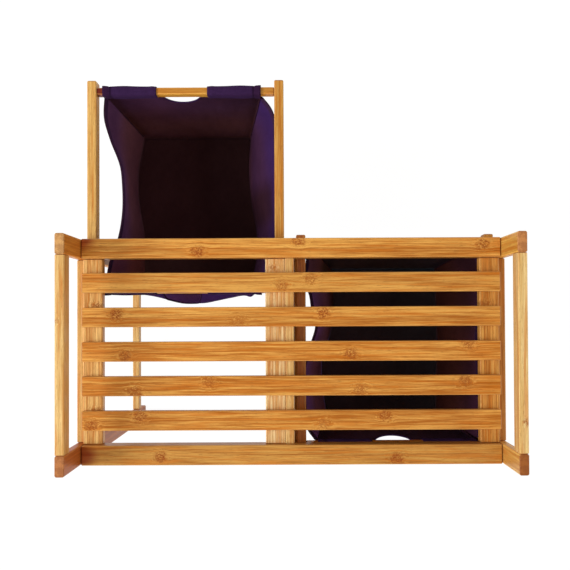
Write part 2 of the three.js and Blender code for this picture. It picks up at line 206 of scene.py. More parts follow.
def make_knuckle():
    """The mottled patch where a bamboo stem had a joint: short blots in a ragged ellipse, and round
    it a wider swirl in which the fibres curl and bow out round the patch."""
    tree, given, ends = shader_group(
        "bamboo_knuckle",
        {"Vector": ["Place", "Centre", "Size"], "Float": ["Strength"]},
        {"Float": ["Mask", "Swirl"], "Vector": ["Bow"]},
    )
    place, size = given["Place"], given["Size"]
    flat = (place - given["Centre"]) / size * (1, 1, 0)
    distance = calculate("LENGTH", flat)
    waver = noise(place, (130, 170, 170), 2)
    core = ramp(distance + (waver * 1.1 - 0.55), 0.55, 1.15, 1.0, 0.0)
    broken = ramp(noise(place, (330, 700, 700), 2, 0.6), 0.42, 0.55, 0.12, 1)
    swirl = ramp(distance, 0.4, 2.1, 1.0, 0.0)
    feed(ends, {
        "Mask": core * broken * given["Strength"],
        "Swirl": swirl,
        "Bow": flat * size * (0, -0.32, 0) * swirl,
    })
    return tree


def make_edge_highlight_and_wear():
    """How near a place is to the long edges of a board, from its middle and half size: 1 on the
    rounded edge and 0 further in than the width."""
    tree, given, ends = shader_group(
        "board_edge", {"Vector": ["Place", "Half Size"], "Float": ["Width"]}, {"Float": ["Mask"]},
    )
    _, across, through = split(given["Half Size"] - abs(given["Place"]))
    wear_and_highlight = noise(given["Place"], (25, 200, 200))
    share = calculate("MAXIMUM", across, through) / (given["Width"] * (wear_and_highlight + 0.5))
    feed(ends, {"Mask": ramp(share, 0.2, 1.0, 1.0, 0.0)})
    return tree


bamboo_grain = make_bamboo_grain()
bamboo_knuckle = make_knuckle()
board_edge = make_edge_highlight_and_wear()


def new_material(name):
    """A node material, with its tree and the inputs of its Principled shader."""
    material = bpy.data.materials.new(name)
    material.use_nodes = True
    return material, material.node_tree, material.node_tree.nodes["Principled BSDF"].inputs


def dress(node, material):
    """Gives a CAD node one material in all its slots."""
    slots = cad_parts[node].data.materials
    slots.clear()
    slots.append(material)


def middle_of(node):
    """The middle of a CAD node's box."""
    low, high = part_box(node)
    return (low + high) / 2


def bamboo_board(node, along, across, strip, pale, deep, knuckles=(), end_tone=(0.52, 0.22, 0.07), painted_shade=()):
    """Bamboo for one CAD board: its grain axis, the axis that its strips lie side by side along,
    the strip width, its two tones, and its knuckles as places along and across from its middle,
    with their length, width and strength. The painted shade has the same form: patches darkened
    where a post or rail shades the board, a painted shadow."""
    low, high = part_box(node)
    thick = AXES[along].cross(AXES[across])
    turn = Matrix((AXES[along], AXES[across], thick))
    material, tree, shader = new_material(node + "_bamboo")
    spot = place_node(tree, "ShaderNodeTexCoord")
    place = place_node(tree, "ShaderNodeMapping", {
        "Vector": spot["Object"], "Location": -(turn @ middle_of(node)), "Rotation": turn.to_euler(),
    })["Vector"]
    facing = abs(calculate("DOT_PRODUCT", spot["Normal"], AXES[along]))
    mask, swirl, bowed = 0.0, 0.0, place
    for along_by, across_by, length, width, strength in knuckles:
        patch = use_group(tree, bamboo_knuckle, {
            "Place": place, "Centre": (along_by, across_by, 0), "Size": (length / 2, width / 2, 1),
            "Strength": strength,
        })
        mask = calculate("MAXIMUM", patch["Mask"], mask)
        swirl = calculate("MAXIMUM", patch["Swirl"], swirl)
        bowed = bowed + patch["Bow"]
    grain = use_group(tree, bamboo_grain, {
        "Place": bowed, "Strip Width": strip, "Seed": float(sum(map(ord, node)) % 97),
        "Pale": pale, "Deep": deep, "Warm": (0.60, 0.17, 0.010), "Knuckle": mask, "Swirl": swirl,
        "End Grain": ramp(facing, 0.55, 0.69), "End Tone": end_tone,
    })
    colour = grain["Color"]
    # Painted shade: each patch darkens the colour towards red-brown where a post or rail shades the board.
    for along_by, across_by, length, width, strength in painted_shade:
        away = (place - (along_by, across_by, 0)) * (2 / length, 2 / width, 0)
        shade_share = ramp(calculate("LENGTH", away), 0.35, 1.0, strength, 0.0)
        colour = blend(shade_share, colour, (0.44, 0.11, 0.08), "MULTIPLY")
    half = [abs((high - low).dot(axis)) / 2 for axis in (AXES[along], AXES[across], thick)]
    edge = use_group(tree, board_edge, {"Place": place, "Half Size": half, "Width": 0.0028})["Mask"]
    # The rounded edges are painted paler, a painted highlight, and are made a little rougher.
    feed(shader, {
        "Base Color": blend(edge * 0.22, colour, (0.86, 0.50, 0.15)),
        "Roughness": edge * 0.08 + grain["Roughness"],
        "Normal": bump(grain["Height"], 0.35, 0.0003),
        "Specular IOR Level": 0.20, "Coat Weight": 0.07, "Coat Roughness": 0.28,
    })
    dress(node, material)


arm_tones = {
    "right": ((0.86, 0.575, 0.225), (0.62, 0.325, 0.080)),
    "left": ((0.95, 0.72, 0.33), (0.72, 0.44, 0.14)),
}
arm_knuckles = {
    "right": [(-0.052, 0.004, 0.012, 0.009, 0.5)],
    "left": [(0.1063, -0.0035, 0.014, 0.010, 0.8)],
}
side_rail_tones = {
    "right": ((0.80, 0.53, 0.20), (0.56, 0.29, 0.07)),
    # Painted shade: darker, redder tones for the -X side rail, whose top the slats' ends shade.
    "left": ((0.62, 0.28, 0.060), (0.36, 0.115, 0.012)),
}
# Each post's tones are partly its own colour. The two posts at +X are made darker and redder, a painted
# shade for their shaded inner faces. The third colour is the end grain.
post_tones = {
    "post_front_right": ((0.90, 0.38, 0.062), (0.54, 0.160, 0.012), (0.68, 0.36, 0.12)),
    "post_front_left": ((0.92, 0.55, 0.110), (0.57, 0.240, 0.025), (0.60, 0.25, 0.075)),
    "post_back_right": ((0.53, 0.140, 0.025), (0.295, 0.058, 0.005), (0.50, 0.19, 0.055)),
    "post_back_left": ((0.95, 0.60, 0.170), (0.60, 0.270, 0.040), (0.36, 0.11, 0.018)),
}
narrow_strip, rail_strip = 0.0075, 0.011
for side in SIDES:
    bamboo_board("arm_" + side, "y", "x", narrow_strip, *arm_tones[side], arm_knuckles[side])
    bamboo_board("side_rail_" + side, "y", "z", rail_strip, *side_rail_tones[side])
    bamboo_board("foot_rail_" + side, "y", "x", narrow_strip, *arm_tones[side])
    for end in ENDS:
        *tones, end_tone = post_tones[f"post_{end}_{side}"]
        bamboo_board(f"post_{end}_{side}", "z", "x", narrow_strip, *tones, end_tone=end_tone)

# Seat: a front and a back rail, five slats, three crossbars under them and the centre board that
# parts the two bins. The slats and rails are flat-laid strips, two to a board, and show the stems'
# mottled knuckles. The crossbars show narrow upright strips.
seat_strip, crossbar_strip, centre_strip = 0.0165, 0.0047, 0.012
seat_tones = (0.85, 0.43, 0.092), (0.42, 0.118, 0.005)
seat_shades = {"seat_slat_1": 0.90, "seat_slat_2": 0.96, "seat_slat_3": 1.05, "seat_rail_back": 0.79}
knuckle_size = (0.025, 0.0205)
seat_knuckles = {
    "seat_rail_front": [(0.1546, 0.0056, 1.0), (-0.0131, -0.0126, 0.8), (-0.3195, -0.0043, 0.9)],
    "seat_slat_1": [(0.0151, 0.0064, 0.7), (-0.033, -0.0068, 0.6)],
    "seat_slat_2": [(0.2908, -0.0044, 1.0), (-0.0538, -0.006, 1.0), (0.0882, 0.0089, 0.4)],
    "seat_slat_3": [(0.2758, 0.0064, 0.8), (-0.0995, 0.0048, 0.9), (-0.2954, -0.0127, 0.8)],
    "seat_slat_4": [
        (0.2601, 0.0089, 0.7), (0.1363, -0.006, 0.6), (-0.1144, 0.0072, 0.7), (-0.2881, -0.0077, 0.8),
    ],
    "seat_slat_5": [
        (0.2509, -0.0077, 0.9), (0.3323, 0.0081, 0.9), (-0.0538, 0.0064, 0.6), (-0.1553, -0.0077, 0.9),
    ],
    "seat_rail_back": [(0.2177, 0.0022, 1.0), (-0.1742, 0.0056, 1.0)],
}
# Painted shadows of the posts on the +X ends of the front and back seat rails.
seat_painted_shadows = {
    "seat_rail_front": [(0.351, -0.018, 0.066, 0.058, 0.85)],
    "seat_rail_back": [(0.350, 0.0, 0.074, 0.050, 0.85)],
}
for board, places in seat_knuckles.items():
    marks = [(along, across, *knuckle_size, strength) for along, across, strength in places]
    tones = np.multiply(seat_tones, seat_shades.get(board, 1.0))
    bamboo_board(board, "x", "y", seat_strip, *tones, marks, painted_shade=seat_painted_shadows.get(board, ()))
crossbar_knuckles = {
    "crossbar_right": [(-0.0776, -0.0075, 0.010, 0.022, 0.8), (0.0979, -0.0075, 0.010, 0.022, 0.6)],
    "crossbar_middle": [(-0.140, 0.004, 0.009, 0.016, 0.6)],
    "crossbar_left": [(-0.079, 0.0075, 0.009, 0.020, 0.6)],
}
crossbar_tones = {
    "crossbar_left": ((0.80, 0.41, 0.095), (0.42, 0.135, 0.014)),
    "crossbar_middle": ((1.0, 0.78, 0.40), (0.68, 0.30, 0.065)),
    "crossbar_right": ((0.96, 0.63, 0.22), (0.49, 0.180, 0.025)),
}
for board, marks in crossbar_knuckles.items():
    bamboo_board(board, "y", "x", crossbar_strip, *crossbar_tones[board], marks)
bamboo_board("centre_board", "y", "z", centre_strip, *arm_tones["right"])

# Runners: a bamboo tongue on each side of each bay, glued and pinned to the end frame or to the
# centre board, on which the grooved rails of the bins slide.
bare_tones = (0.80, 0.40, 0.072), (0.48, 0.170, 0.014)
runner_strip = 0.008
for side in SIDES:
    for place in ("outer", "inner"):
        bamboo_board(f"runner_{side}_{place}", "y", "z", runner_strip, *bare_tones)


# Fasteners: bright zinc-plated steel bolts, barrel nuts and countersunk screws. The screws that
# hold the slats go up through the crossbars, and only their heads show from below.
def make_steel():
    """Turned steel: fine scratches round and across, and dulled, darker patches."""
    material, tree, shader = new_material("plated_steel")
    spot = place_node(tree, "ShaderNodeTexCoord")["Object"]
    scratches = noise(spot, (2600, 400, 2600))
    patches = noise(spot, 260)
    feed(shader, {
        "Base Color": blend(ramp(patches, 0.35, 0.7), (0.62, 0.61, 0.58), (0.40, 0.38, 0.35)),
        "Roughness": scratches * 0.25 + ramp(patches, 0.3, 0.8, 0.18, 0.38),
        "Normal": bump(scratches, 0.2, 0.0001),
        "Metallic": 1.0,
    })
    return material


steel = make_steel()
corners = [(end, side) for end in ENDS for side in SIDES]
for end, side in corners:
    dress(f"seat_bolt_{end}_{side}", steel)
    dress(f"barrel_nut_{end}_{side}", steel)
    for bin_side in SIDES:
        dress(f"{bin_side}_bin_screw_{end}_{side}", steel)


def mesh_piece(name, points, faces, material, body, smooth=True):
    """A piece made from an array of points and a list of faces, riding on a body."""
    mesh = bpy.data.meshes.new(name)
    mesh.from_pydata(np.asarray(points).reshape(-1, 3).tolist(), [], faces)
    mesh.validate()
    mesh.update()
    piece = bpy.data.objects.new(name, mesh)
    bpy.context.scene.collection.objects.link(piece)
    mesh.materials.append(material)
    mesh.polygons.foreach_set("use_smooth", np.full(len(mesh.polygons), smooth))
    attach(piece, body)
    return piece


def grid_faces(rows, columns, closed_rows=False):
    """Faces of a grid of points, row by row. Each row closes on itself, and so may the rows."""
    r = np.arange(rows if closed_rows else rows - 1)[:, None]
    left = np.arange(columns)[None, :]
    below, above, right = r * columns, (r + 1) % rows * columns, (left + 1) % columns
    return np.stack([below + left, below + right, above + right, above + left], -1).reshape(-1, 4)


def make_screw_head():
    """A countersunk screw's head, facing down: a profile turned about the Z axis, with a cross
    recess of four lobes, and sunk to sit flush in the bamboo. Returns its points and faces."""
    radius, recess, rise, steps = 0.0036, 0.0013, 0.0008, 24
    angles = np.linspace(0, 2 * np.pi, steps, endpoint=False)
    shares = np.array([0.0, 0.22, 0.45, 0.62, 0.9, 1.0, 1.0])[:, None]
    lobes = recess * (0.5 + 0.5 * np.cos(4 * angles))
    level = np.zeros((len(shares), steps))
    level[0] = recess
    level[1:4] = 0.4 * recess + 0.6 * lobes, 0.8 * lobes, 0.2 * lobes
    level[5:] = [[0.4 * rise], [1.4 * rise]]
    x, y = shares * radius * np.cos(angles), shares * radius * np.sin(angles)
    points = np.stack([x, y, level - 0.4 * rise], -1).reshape(-1, 3)
    points = np.vstack([points, [0, 0, rise]]) * (1, 1, -1)
    last = len(points) - 1 - steps + np.arange(steps)
    fan = np.stack([last, np.roll(last, -1), np.full(steps, len(points) - 1)], -1)
    return points, [*grid_faces(len(shares), steps)[:, ::-1], *fan[:, ::-1]]


head, head_faces = make_screw_head()
screw_aside = 0.008
all_heads, all_faces = [], []
for bar in crossbar_knuckles:
    for slat in range(1, 6):
        for aside in (-screw_aside, screw_aside):
            across, along = middle_of(bar).x + aside, middle_of(f"seat_slat_{slat}").y + aside / 2
            all_faces += [tuple(face + len(all_heads) * len(head)) for face in head_faces]
            all_heads.append(head + (across, along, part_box(bar)[0].z))
mesh_piece("slat_screw_heads", np.concatenate(all_heads), all_faces, steel, "bench", False)


# Glides: a moulded brown plastic pad pressed under each post, with a fine sparked surface and
# smoother, paler scuffs drawn out along X.
def make_glide_plastic():
    """Moulded plastic: a fine pitted grain, and scuffs drawn out along X."""
    material, tree, shader = new_material("glide_plastic")
    spot = place_node(tree, "ShaderNodeTexCoord")["Object"]
    pits = noise(spot, 2400, 3, 0.6)
    wear_and_highlight = ramp(noise(spot, (150, 1500, 400)) * 0.7 + pits * 0.3, 0.4, 0.65)
    feed(shader, {
        "Base Color": blend(wear_and_highlight, (0.055, 0.030, 0.018), (0.120, 0.066, 0.040)),
        "Roughness": ramp(wear_and_highlight, 0.0, 1.0, 0.62, 0.45),
        "Normal": bump(pits, 0.4, 0.0002),
    })
    return material


glide_plastic = make_glide_plastic()
for end, side in corners:
    dress(f"foot_glide_{end}_{side}", glide_plastic)

# Bin frames: two grooved bamboo rails and two bars for each bin. The rails are two upright strips
# wide. The bars are bare where the bag's sleeves leave a gap for the hand.
rail_tones = {
    "right_bin_rail_outer": ((0.79, 0.48, 0.145), (0.54, 0.25, 0.045)),
    "right_bin_rail_inner": ((0.74, 0.43, 0.105), (0.48, 0.17, 0.016)),
    "left_bin_rail_outer": bare_tones,
    # Painted shade: darker, redder tones for the left bin's inner rail, which lies in the seat's shade.
    "left_bin_rail_inner": ((0.66, 0.26, 0.060), (0.38, 0.095, 0.020)),
}
for rail, tones in rail_tones.items():
    bamboo_board(rail, "y", "x", narrow_strip, *tones)
bar_strip = 0.008
bar_tones = (0.98, 0.54, 0.090), (0.64, 0.24, 0.020)
# Painted shade: darker, redder tones for the left bin's back bar, which lies in the seat's shade.
shaded_bar_tones = (0.98, 0.38, 0.045), (0.60, 0.16, 0.010)
# Painted shade: patches that darken the right bin's front bar at its stubs, between each rail and sleeve.
stub_painted_shade = [
    (0.150, 0.0, 0.034, 0.060, 0.95), (0.152, 0.0, 0.030, 0.060, 0.7), (-0.147, 0.0, 0.040, 0.060, 0.3),
]
for side in SIDES:
    for end in ENDS:
        tones = shaded_bar_tones if (side, end) == ("left", "back") else bar_tones
        painted_shade = stub_painted_shade if (side, end) == ("right", "front") else ()
        bamboo_board(f"{side}_bin_bar_{end}", "x", "z", bar_strip, *tones, painted_shade=painted_shade)


# Bags: dark purple cotton canvas, sewn as one tapered sack with a flat floor. Its walls hang from
# the sleeves on the two bars, so the free side rims sag and lean, and the rear wall bellies out.
def make_canvas():
    """Plain canvas: two sets of threads cross over and under, with slubs, faded patches and soft
    folds. It reads the piece's own UV map, which is in metres along and up the cloth."""
    tree, given, ends = shader_group(
        "canvas_weave",
        {"Vector": ["Cloth"], "Float": ["Pitch"], "Color": ["Dark", "Light"]},
        {"Color": ["Color"], "Float": ["Roughness", "Height", "Folds"]},
    )
    cloth = given["Cloth"]
    warp, weft, _ = split(cloth * (math.tau / given["Pitch"]))
    over = calculate("SINE", warp) * calculate("SINE", weft)
    slub = noise(cloth, (90, 1300, 1), 2)
    slub_up = noise(cloth, (1300, 90, 1), 2)
    faded = noise(cloth, (14, 11, 1), 4, 0.6)
    share = ramp(over * 0.18 + slub * 0.35 + slub_up * 0.35 + faded * 0.55, 0.30, 0.95)
    feed(ends, {
        "Color": blend(share, given["Dark"], given["Light"]),
        "Roughness": ramp(share, 0.0, 1.0, 0.92, 0.78),
        "Height": over * 0.5 + slub + slub_up,
        "Folds": noise(cloth, (17, 10, 1), 2),
    })
    return tree


canvas = make_canvas()


def cloth_material(name, dark, light, pitch=0.0011):
    """Canvas with a soft sheen and a thread pitch in metres, on the UV map named cloth."""
    material, tree, shader = new_material(name)
    cloth = place_node(tree, "ShaderNodeUVMap", uv_map="cloth")["UV"]
    finish = use_group(tree, canvas, {"Cloth": cloth, "Pitch": pitch, "Dark": dark, "Light": light})
    feed(shader, {
        "Base Color": finish["Color"],
        "Roughness": finish["Roughness"],
        "Normal": bump(finish["Height"], 0.5, 0.0004, Normal=bump(finish["Folds"], 0.7, 0.008)),
        "Sheen Weight": 0.04, "Sheen Roughness": 0.4, "Sheen Tint": (0.55, 0.30, 0.95),
        "Specular IOR Level": 0.06,
    })
    return material


bag_cloth = cloth_material("bag_canvas", (0.024, 0.008, 0.040), (0.050, 0.019, 0.082))
# The left bag's lining is browner than the right's, a painted shade for the bag that stands under the seat.
bag_linings = {
    "right": cloth_material("right_bag_lining", (0.049, 0.0148, 0.036), (0.093, 0.0315, 0.074)),
    "left": cloth_material("left_bag_lining", (0.046, 0.017, 0.024), (0.088, 0.034, 0.046)),
}
sleeve_cloth = cloth_material("bag_sleeve_canvas", (0.024, 0.008, 0.039), (0.053, 0.020, 0.082))
hem_cloth = cloth_material("bag_hem_canvas", (0.024, 0.008, 0.039), (0.053, 0.020, 0.082))
rim_cloth = cloth_material("bag_rim_canvas", (0.027, 0.010, 0.033), (0.058, 0.022, 0.064))
# The seam tape inside each corner is a real tape, coloured darker than the lining as a painted shade for the
# corners.
tape_cloth = cloth_material("bag_seam_tape", (0.034, 0.010, 0.016), (0.062, 0.020, 0.030), 0.0008)
thread_cloth = cloth_material("bag_thread", (0.050, 0.021, 0.072), (0.095, 0.045, 0.13), 0.0004)
bag_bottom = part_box("right_bin_bag")[0].z
wall_slope, floor_half = 0.1512, 0.1098


def tint(material, tints, middle_x=0.0):
    """Colours a cloth part by part. Each tint is a list of (measure, from, to) and a colour, which
    multiplies the cloth where every measure has passed to its second value. The measures are x from
    the bag's middle, y, the height above its floor, that height with a wavering edge, how far the
    surface faces along X, the distance from an end wall's corner, and the place along the UV map."""
    tree = material.node_tree
    spot = place_node(tree, "ShaderNodeTexCoord")
    x, y, z = split(spot["Object"])
    from_middle, up = x - middle_x, z - bag_bottom
    measures = {
        "x": from_middle, "y": y, "up": up,
        "waver": up + (noise(spot["Object"], 7, 1) * 0.08 - 0.04),
        "facing": abs(split(spot["Normal"])[0]),
        "corner": up * wall_slope + floor_half - abs(from_middle),
        "along": split(place_node(tree, "ShaderNodeUVMap", uv_map="cloth")["UV"])[0],
    }
    base = tree.nodes["Principled BSDF"].inputs["Base Color"]
    colour = Field(base.links[0].from_socket)
    for limits, shade in tints:
        share = 1.0
        for measure, first, last in limits:
            ends = (0.0, 1.0) if last > first else (1.0, 0.0)
            share = ramp(measures[measure], min(first, last), max(first, last), *ends) * share
        colour = blend(share, colour, shade, "MULTIPLY")
    tree.links.new(colour.socket, base)


# The upper part of each sack's back wall is painted lighter and bluer, a painted light on cloth that the
# seat shades.
back_walls = [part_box(f"{side}_bin_bar_back")[0].y for side in SIDES]
tint(bag_cloth, [
    ([("up", 0.085, 0.135), ("y", y - 0.060, y - 0.035), ("y", y + 0.060, y + 0.035)], (1.5, 1.6, 2.3))
    for y in back_walls
])
# A sleeve's outer end is turned in and stitched down. Its UV map runs from that end. The crease
# along the stitching is painted darker, a painted shade, and the cloth is a little duller outside it.
tint(sleeve_cloth, [
    ([("along", 0.0105, 0.0125), ("along", 0.0160, 0.0135)], (0.50, 0.36, 0.40)),
    ([("along", 0.013, 0.010)], (0.86, 0.72, 0.66)),
])
# The linings are painted with light and shade, wall by wall: darker and browner low on the walls, on the
# floors and by the corners, as painted shade, and lighter and bluer on the walls and rims that the lamps
# reach, as painted light.
side_wall, end_wall = ("facing", 0.35, 0.75), ("facing", 0.75, 0.35)
low_x_wall, high_x_wall = [side_wall, ("x", -0.095, -0.115)], [side_wall, ("x", 0.095, 0.115)]
to_low_x, by_corner = [end_wall, ("x", 0.090, -0.100)], [end_wall, ("corner", 0.024, 0.006)]
low_on_wall, on_floor, off_floor = ("waver", 0.135, 0.055), ("up", 0.007, 0.002), ("up", 0.004, 0.020)
under_seat, back_rim = ("y", -0.060, -0.030), ("y", 0.034, 0.042)
tint(bag_linings["right"], [
    ([low_on_wall], (1.38, 1.25, 0.60)),
    ([on_floor], (0.64, 0.75, 0.75)),
    (low_x_wall, (0.64, 0.70, 1.65)),
    (high_x_wall, (1.8, 2.15, 2.5)),
    ([*low_x_wall, ("y", -0.190, -0.145), ("y", -0.080, -0.115), ("up", 0.150, 0.100)], (0.64, 0.58, 0.34)),
    ([*high_x_wall, ("y", -0.170, -0.200), ("up", 0.100, 0.140)], (0.80, 0.76, 0.72)),
    (to_low_x, (0.57, 0.54, 0.42)),
    ([*to_low_x, on_floor], (0.67, 0.65, 0.76)),
    ([*by_corner, off_floor], (0.72, 0.64, 0.42)),
    ([end_wall, ("up", 0.110, 0.160)], (0.77, 0.74, 0.80)),
    ([end_wall, off_floor, ("up", 0.090, 0.040)], (1.3, 1.4, 1.3)),
    ([under_seat], (1.5, 1.8, 1.6)),
    ([*high_x_wall, under_seat], (1.0, 0.66, 0.48)),
    ([back_rim], (2.4, 2.4, 5.0)),
], 0.186)
tint(bag_linings["left"], [
    ([low_on_wall], (1.38, 1.25, 0.60)),
    ([on_floor], (0.78, 1.50, 2.80)),
    (low_x_wall, (0.80, 0.60, 0.62)),
    (high_x_wall, (2.8, 2.7, 2.8)),
    ([*high_x_wall, ("y", 0.005, 0.040)], (1.2, 1.3, 3.0)),
    ([*low_x_wall, ("y", 0.010, 0.045), ("up", 0.110, 0.150)], (1.5, 1.6, 2.4)),
    (to_low_x, (0.62, 0.70, 0.66)),
    ([*by_corner, off_floor], (0.60, 0.64, 0.60)),
    ([end_wall, ("y", 0.015, -0.010)], (0.95, 1.6, 1.9)),
    ([*high_x_wall, ("y", 0.015, -0.005), ("up", 0.090, 0.050)], (0.45, 0.62, 0.55)),
], -0.181)

side_steps, end_steps, corner_steps, wall_steps, floor_steps = 60, 90, 10, 60, 14
canvas_thick, corner_radius, floor_round = 0.0015, 0.007, 0.005
taper, side_dip, rim_hang = 0.026, 0.027, 0.0052
belly_level, belly_tall = 0.78, 0.34
handle_half_gap, hole_radius, hem_wide = 0.0437, 0.035, 0.012


def outline_shares():
    """Once round the bag, anticlockwise from the front of its +X wall: for each point the corner
    shares (sx, sy), from -1 to 1, and the direction (nx, ny) in which the corner radius goes."""
    rows = []
    for wall in range(4):
        steps = side_steps if wall % 2 == 0 else end_steps
        run = np.linspace(-1, 1, steps + 1)
        turn = np.linspace(0, np.pi / 2, corner_steps + 1)[1:-1]
        flat = np.stack([1 + 0 * run, run, 1 + 0 * run, 0 * run], -1)
        bend = np.stack([1 + 0 * turn, 1 + 0 * turn, np.cos(turn), np.sin(turn)], -1)
        piece = np.concatenate([flat, bend])
        c, s = np.cos(wall * np.pi / 2).round(), np.sin(wall * np.pi / 2).round()
        rows.append(piece @ np.kron(np.eye(2), [[c, s], [-s, c]]))
    return np.concatenate(rows)


outline = outline_shares()
outline_count = len(outline)
outline_turn = np.concatenate([outline, outline[:1]])
wall_starts = np.cumsum([0, side_steps + corner_steps, end_steps + corner_steps, side_steps + corner_steps])


def curve_through(table, shares):
    """A smooth curve through (share, value) pairs, made of cubic pieces: each pair's slope comes
    from its two neighbours, and beyond the ends the curve stays level."""
    knots, values = np.array(table, float).T
    slopes = np.gradient(values, knots)
    shares = np.clip(shares, knots[0], knots[-1])
    piece = np.clip(np.searchsorted(knots, shares, side="right") - 1, 0, len(knots) - 2)
    wide = knots[piece + 1] - knots[piece]
    t = (shares - knots[piece]) / wide
    value = values[piece] * (1 + 2 * t) * (1 - t) ** 2 + values[piece + 1] * t**2 * (3 - 2 * t)
    return value + wide * (slopes[piece] * t * (1 - t) ** 2 + slopes[piece + 1] * t**2 * (t - 1))


class Bag:
    """The sizes of one bag and the leans and bellies of its walls.

    For each side wall, rims and floors are tables of (place along it from -1 at the front to 1,
    metres outward) for its rim and for its floor edge, and the wall runs straight between them.
    The rear belly is a table of the same kind from the -X end, fullest at belly_level."""

    def __init__(self, side, shift, rims, floors, belly, hole_shift):
        self.side = side
        low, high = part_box(f"{side}_bin_bag")
        front_y, back_y = (middle_of(f"{side}_bin_bar_{end}").y for end in ENDS)
        self.middle_x, self.middle_y = (low.x + high.x) / 2 + shift, (front_y + back_y) / 2
        self.half_x, self.half_y = (high.x - low.x) / 2, (back_y - front_y) / 2 + canvas_thick / 2
        self.rim, self.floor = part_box(f"{side}_bin_bar_front")[0].z - 0.001, low.z
        self.tall = self.rim - self.floor
        self.rims, self.floors, self.belly = rims, floors, belly
        self.hole_shift, self.hole_x = hole_shift, self.middle_x + hole_shift

    def point(self, turn, level):
        """Place on the sack's outer face at a place round its outline (an outline index) and a
        level from 0 at the floor's edge to 1 at the rim. Each wall runs straight between tapered
        corners and then takes its tables' offsets; near the rim the end walls draw in towards the
        inner side of the sleeves that they hang from."""
        turn, level = np.broadcast_arrays(turn, level)
        span = np.arange(outline_count + 1)
        sx, sy, nx, ny = (np.interp(turn % outline_count, span, outline_turn[:, i]) for i in range(4))
        held = np.clip(level, 0, 1)
        x = sx * (self.half_x - taper * (1 - level) - corner_radius) + corner_radius * nx
        y = sy * (self.half_y - taper * (1 - level) - corner_radius) + corner_radius * ny
        dip = side_dip * np.clip(1 - sy**2, 0, 1) ** 1.5
        z = self.floor + level * (self.tall - dip)
        for sign in (1, -1):
            rim, foot = (curve_through(table[sign], sy) for table in (self.rims, self.floors))
            x = x + sign * (held * rim + (1 - held) * foot) * np.clip(sign * nx, 0, 1)
        full = np.exp(-(((held - belly_level) / belly_tall) ** 2))
        full = full * np.clip(9 * (1 - held), 0, 1) * np.clip(9 * held, 0, 1)
        y = y + full * curve_through(self.belly, sx) * np.clip(ny, 0, 1)
        y = y - 0.004 * np.sin(np.pi * held) * (1 - sx**2) * np.clip(-ny, 0, 1)
        y = y - rim_hang * np.clip((held - 0.90) / 0.10, 0, 1) ** 2 * ny
        ripple = 0.0007 * np.sin(7 * sx + 4 * level + 2) * np.sin(6 * sy - 3 * level) * np.sin(np.pi * held)
        return np.stack([x + ripple * nx + self.middle_x, y + ripple * ny + self.middle_y, z], -1)

    def proud(self, turn, level, out):
        """A place that stands out from the wall by a distance, along the wall's own normal, which
        comes from two small steps on the wall."""
        along = self.point(turn + 0.05, level) - self.point(turn - 0.05, level)
        up = self.point(turn, level + 0.004) - self.point(turn, level - 0.004)
        normal = np.cross(along, up)
        normal /= np.linalg.norm(normal, axis=-1, keepdims=True)
        return self.point(turn, level) + normal * np.asarray(out)[..., None]


bags = [
    Bag("right", 0.0063, {
        1: [
            (-1, 0.002), (-0.8, 0.0045), (-0.6, -0.003), (-0.3, -0.0195), (-0.1, -0.022), (0.2, -0.022),
            (0.45, -0.017), (0.75, -0.0035), (1, 0.001),
        ],
        -1: [
            (-1, 0.003), (-0.9, 0.0165), (-0.8, 0.0235), (-0.6, 0.026), (0, 0.026), (0.7, 0.025),
            (0.85, 0.016), (1, 0.002),
        ],
    }, {
        1: [(-1, 0.0005), (-0.54, 0.012), (-0.1, 0.011), (0.37, 0.001), (1, 0)],
        -1: [(-1, -0.0006), (-0.67, -0.004), (-0.1, 0.001), (0.37, 0.012), (0.6, 0.013), (1, 0.003)],
    }, [
        (-1, 0.006), (-0.92, 0.015), (-0.85, 0.013), (-0.64, 0.017), (-0.45, 0.022), (-0.27, 0.0262),
        (-0.13, 0.0268), (0.07, 0.0262), (0.23, 0.021), (0.41, 0.0145), (0.56, 0.011), (0.8, 0.008),
        (1, 0.003),
    ], 0.0045),
    Bag("left", -0.0036, {
        1: [
            (-1, 0.0145), (-0.94, 0.0185), (-0.88, 0.019), (-0.75, 0.022), (-0.6, 0.018), (-0.53, 0.0135),
            (-0.4, 0.010), (-0.176, 0.0023), (-0.04, 0.0085), (0.1, 0.017), (0.2, 0.022), (0.45, 0.024),
            (0.7, 0.023), (0.89, 0.0185), (1, 0.0054),
        ],
        -1: [(-1, 0.006), (-0.85, 0.015), (0, 0.017), (0.85, 0.0155), (1, 0.012)],
    }, {
        1: [(-1, -0.008), (-0.5, -0.013), (-0.1, -0.005), (0.25, 0.011), (0.6, 0.012), (1, 0.005)],
        -1: [(-1, 0), (0, 0.003), (1, 0)],
    }, [(-1, 0), (-0.4, -0.001), (0, -0.002), (0.4, -0.001), (1, 0)], 0.004),
]


def cloth_piece(bag, word, points, faces, material, cloth, smooth=True):
    """A piece of a bag, riding on its bin. Its UV map, named cloth, is one pair (along, up), in
    metres, for each point."""
    name, body = f"{bag.side}_bag_{word}", f"{bag.side}_bin"
    piece = mesh_piece(name, points, faces, material, body, smooth)
    layer = piece.data.uv_layers.new(name="cloth")
    corner_points = np.empty(len(piece.data.loops), int)
    piece.data.loops.foreach_get("vertex_index", corner_points)
    pairs = np.stack(np.broadcast_arrays(*cloth), -1).astype(np.float32).reshape(-1, 2)
    layer.data.foreach_set("uv", pairs[corner_points].ravel())
    return piece


